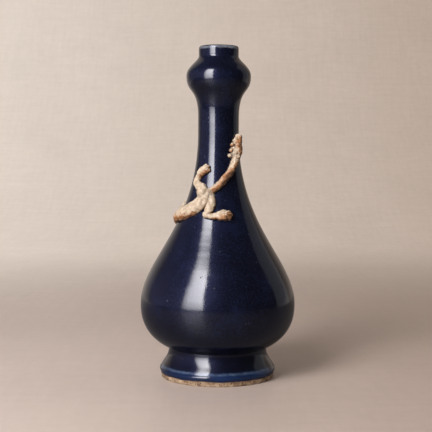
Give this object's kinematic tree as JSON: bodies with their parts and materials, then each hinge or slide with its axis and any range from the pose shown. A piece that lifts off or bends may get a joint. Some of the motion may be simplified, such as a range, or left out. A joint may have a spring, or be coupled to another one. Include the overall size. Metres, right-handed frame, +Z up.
{
  "type": "garlic head vase",
  "caption": "Pear-bodied glazed stoneware bottle with a splayed foot, slim neck, garlic-bulb mouth and an unglazed clay dragon climbing round its shoulder.",
  "frame": {"origin": "centre of the foot's resting plane", "axes": "+Z up along the vase's axis, -Y the side seen in the picture, +X to that view's right"},
  "size_m": [0.1126, 0.1126, 0.24],
  "materials": {
    "cobalt_glaze": "gloss",
    "biscuit_clay": "matte"
  },
  "bodies": {
    "root": {"foot_ring": "cobalt_glaze", "lower_body": "cobalt_glaze", "upper_body": "cobalt_glaze", "neck": "cobalt_glaze", "garlic_bulb": "cobalt_glaze", "mouth_collar": "cobalt_glaze", "dragon_torso": "biscuit_clay", "dragon_tail": "biscuit_clay", "dragon_tail_tip": "biscuit_clay", "dragon_tail_curls": "biscuit_clay", "dragon_upper_hind_leg": "biscuit_clay", "dragon_lower_hind_leg": "biscuit_clay", "dragon_neck": "biscuit_clay", "dragon_upper_foreleg": "biscuit_clay", "dragon_lower_foreleg": "biscuit_clay", "dragon_head": "biscuit_clay", "dragon_ears": "biscuit_clay", "dragon_eyes": "biscuit_clay"}
  },
  "joints": []
}
